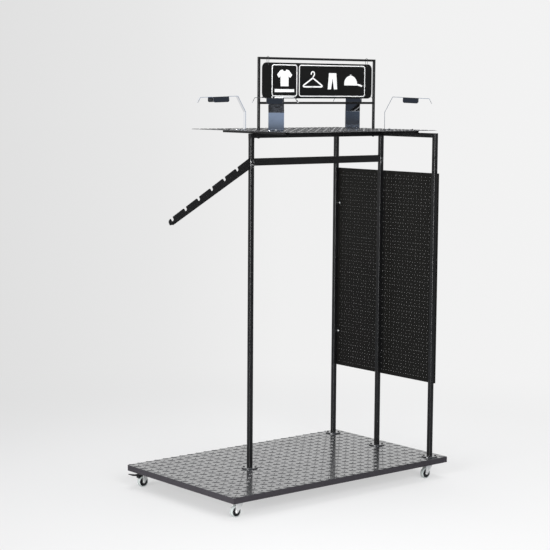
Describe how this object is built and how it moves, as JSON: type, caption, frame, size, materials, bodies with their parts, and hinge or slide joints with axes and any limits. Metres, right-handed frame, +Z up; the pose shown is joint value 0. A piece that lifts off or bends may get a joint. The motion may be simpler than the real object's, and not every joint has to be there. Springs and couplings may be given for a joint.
{
  "type": "garment display stand",
  "caption": "Wheeled garment and cap display stand: tread plate base, square tube frame, hanging rail, notched arm, perforated back panel, top shelf with cap holders, hanging sign.",
  "frame": {"origin": "on the floor, under the middle of the stand's bounding box", "axes": "+Z up; +X from the waterfall arm's end to the perforated panel's end; +Y to the left of someone looking along +X"},
  "size_m": [1.309, 0.765, 1.9146],
  "materials": {
    "base_paint": "anthracite powder coat, satin",
    "deck_tread": "gloss black stove enamel over raised tread plate",
    "black_powder": "black powder coat, satin",
    "panel_gloss": "gloss black enamel",
    "shelf_tread": "gloss grey-black enamel over raised tread plate",
    "black_fixings": "blackened steel fixings",
    "board_face": "black board with printed white keylines and pictograms",
    "mirror_steel": "mirror polished stainless steel",
    "bright_zinc": "bright zinc plating",
    "black_plastic": "moulded black nylon",
    "grey_tyre": "soft translucent grey rubber"
  },
  "bodies": {
    "stand": {"base_rail_left": "base_paint", "base_rail_right": "base_paint", "base_rail_front": "base_paint", "base_rail_rear": "base_paint", "cross_members": "base_paint", "corner_plates": "base_paint", "deck_plate": "deck_tread", "floor_flanges": "black_powder", "flange_screws": "black_fixings", "front_upright": "black_powder", "middle_upright": "black_powder", "rear_left_upright": "black_powder", "rear_right_upright": "black_powder", "tube_caps": "black_plastic", "spine_beam": "black_powder", "cross_beam": "black_powder", "hanging_rail": "black_powder", "waterfall_arm": "black_powder", "perforated_panel": "panel_gloss", "panel_stiles": "panel_gloss", "panel_rails": "panel_gloss", "panel_clips": "black_powder", "panel_screws": "bright_zinc", "front_bearer": "black_powder", "rear_bearer": "black_powder", "shelf_sheet": "shelf_tread", "shelf_screws": "black_fixings", "front_sign_post": "black_powder", "rear_sign_post": "black_powder", "sign_top_bar": "black_powder", "sign_lower_bar": "black_powder", "sign_bolts": "black_fixings", "holder_screws": "bright_zinc", "caster_plates": "bright_zinc", "caster_bolts": "bright_zinc", "kingpins": "bright_zinc"},
    "sign": {"sign_links": "black_fixings", "sign_board": "board_face"},
    "front_left_holder": {"front_left_cap_holder": "mirror_steel"},
    "front_right_holder": {"front_right_cap_holder": "mirror_steel"},
    "rear_left_holder": {"rear_left_cap_holder": "mirror_steel"},
    "rear_right_holder": {"rear_right_cap_holder": "mirror_steel"},
    "front_left_swivel": {"front_left_fork": "bright_zinc", "front_left_axle": "bright_zinc"},
    "front_left_wheel": {"front_left_hub": "black_plastic", "front_left_tyre": "grey_tyre"},
    "front_right_swivel": {"front_right_fork": "bright_zinc", "front_right_axle": "bright_zinc"},
    "front_right_wheel": {"front_right_hub": "black_plastic", "front_right_tyre": "grey_tyre"},
    "rear_left_swivel": {"rear_left_fork": "bright_zinc", "rear_left_axle": "bright_zinc"},
    "rear_left_wheel": {"rear_left_hub": "black_plastic", "rear_left_tyre": "grey_tyre"},
    "rear_right_swivel": {"rear_right_fork": "bright_zinc", "rear_right_axle": "bright_zinc"},
    "rear_right_wheel": {"rear_right_hub": "black_plastic", "rear_right_tyre": "grey_tyre"},
    "front_left_brake": {"front_left_pedal": "black_plastic"},
    "rear_left_brake": {"rear_left_pedal": "black_plastic"}
  },
  "joints": [
    {"name": "sign_swing", "type": "hinge", "parent": "stand", "child": "sign", "pos_m": [0.17114, 0, 1.905], "axis": [1, 0, 0], "range_deg": [-25, 25]},
    {"name": "front_left_holder_turn", "type": "hinge", "parent": "stand", "child": "front_left_holder", "pos_m": [-0.18246, 0.12, 1.595], "axis": [0, 0, 1], "range_deg": [-145, 25]},
    {"name": "front_right_holder_turn", "type": "hinge", "parent": "stand", "child": "front_right_holder", "pos_m": [-0.17813, -0.12535, 1.595], "axis": [0, 0, 1], "range_deg": [-43, 127]},
    {"name": "rear_left_holder_turn", "type": "hinge", "parent": "stand", "child": "rear_left_holder", "pos_m": [0.49655, 0.12456, 1.595], "axis": [0, 0, 1], "range_deg": [-40, 130]},
    {"name": "rear_right_holder_turn", "type": "hinge", "parent": "stand", "child": "rear_right_holder", "pos_m": [0.49655, -0.12456, 1.595], "axis": [0, 0, 1], "range_deg": [-130, 40]},
    {"name": "front_left_swivel", "type": "hinge", "parent": "stand", "child": "front_left_swivel", "pos_m": [-0.53501, 0.3335, 0.062], "axis": [0, 0, 1], "continuous": true},
    {"name": "front_left_roll", "type": "hinge", "parent": "front_left_swivel", "child": "front_left_wheel", "pos_m": [-0.55701, 0.3335, 0.025], "axis": [0, 1, 0], "continuous": true},
    {"name": "front_right_swivel", "type": "hinge", "parent": "stand", "child": "front_right_swivel", "pos_m": [-0.53501, -0.3335, 0.062], "axis": [0, 0, 1], "continuous": true},
    {"name": "front_right_roll", "type": "hinge", "parent": "front_right_swivel", "child": "front_right_wheel", "pos_m": [-0.55701, -0.3335, 0.025], "axis": [0, 1, 0], "continuous": true},
    {"name": "rear_left_swivel", "type": "hinge", "parent": "stand", "child": "rear_left_swivel", "pos_m": [0.57699, 0.3335, 0.062], "axis": [0, 0, 1], "continuous": true},
    {"name": "rear_left_roll", "type": "hinge", "parent": "rear_left_swivel", "child": "rear_left_wheel", "pos_m": [0.55499, 0.3335, 0.025], "axis": [0, 1, 0], "continuous": true},
    {"name": "rear_right_swivel", "type": "hinge", "parent": "stand", "child": "rear_right_swivel", "pos_m": [0.57699, -0.3335, 0.062], "axis": [0, 0, 1], "continuous": true},
    {"name": "rear_right_roll", "type": "hinge", "parent": "rear_right_swivel", "child": "rear_right_wheel", "pos_m": [0.55499, -0.3335, 0.025], "axis": [0, 1, 0], "continuous": true},
    {"name": "front_left_brake_press", "type": "hinge", "parent": "front_left_swivel", "child": "front_left_brake", "pos_m": [-0.55501, 0.3335, 0.0562], "axis": [0, -1, 0], "range_deg": [0, 8]},
    {"name": "rear_left_brake_press", "type": "hinge", "parent": "rear_left_swivel", "child": "rear_left_brake", "pos_m": [0.55699, 0.3335, 0.0562], "axis": [0, -1, 0], "range_deg": [0, 8]}
  ]
}
